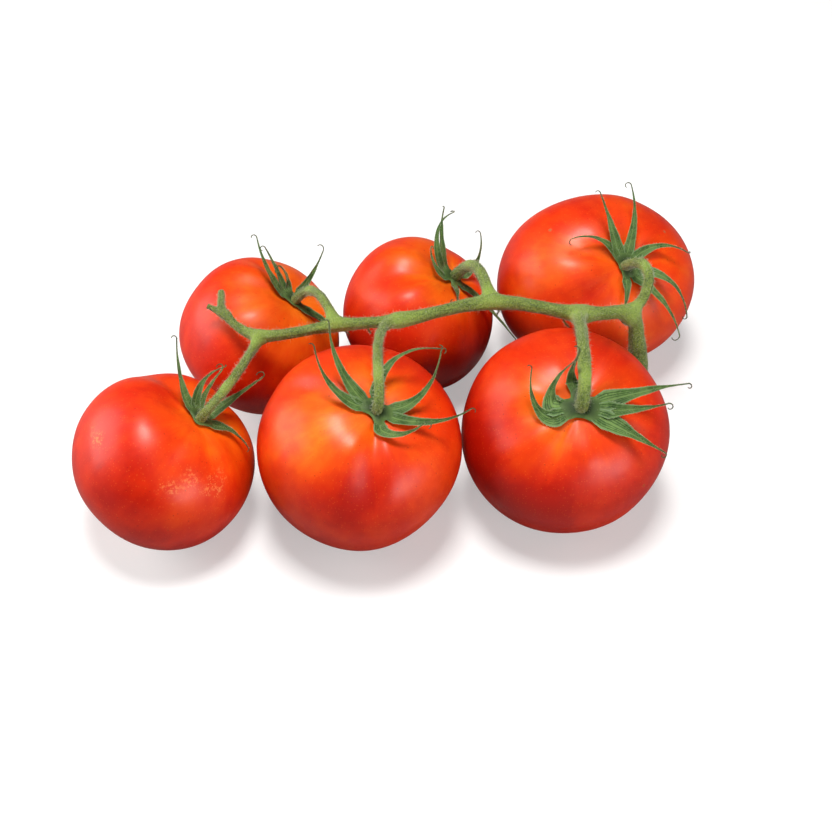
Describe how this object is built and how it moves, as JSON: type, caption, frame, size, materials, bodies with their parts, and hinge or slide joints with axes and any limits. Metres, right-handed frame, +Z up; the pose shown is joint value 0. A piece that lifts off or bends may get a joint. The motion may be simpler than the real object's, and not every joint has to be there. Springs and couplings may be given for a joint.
{
  "type": "truss of tomatoes",
  "caption": "Ripe vine tomatoes in two rows on one green truss stem, lying on a surface, each held by a bent stalk and a calyx of long curling sepals.",
  "frame": {"origin": "middle of the truss's footprint, on the surface that the tomatoes rest on", "axes": "+X along the truss stem towards its cut base, +Y towards the back row, +Z up; the front row is on the -Y side"},
  "size_m": [0.242, 0.1434, 0.0846],
  "materials": {
    "tomato_skin": "glossy ripe red skin, orange around the stem end",
    "calyx_green": "matt green leaf, slightly hairy",
    "stem_green": "matt light green plant stem with fine hairs"
  },
  "bodies": {
    "root": {"tomato_1": "tomato_skin", "calyx_1": "calyx_green", "stalk_1": "stem_green", "tomato_2": "tomato_skin", "calyx_2": "calyx_green", "stalk_2": "stem_green", "tomato_3": "tomato_skin", "calyx_3": "calyx_green", "stalk_3": "stem_green", "tomato_4": "tomato_skin", "calyx_4": "calyx_green", "stalk_4": "stem_green", "tomato_5": "tomato_skin", "calyx_5": "calyx_green", "stalk_5": "stem_green", "tomato_6": "tomato_skin", "calyx_6": "calyx_green", "stalk_6": "stem_green", "truss_stem": "stem_green"}
  },
  "joints": []
}
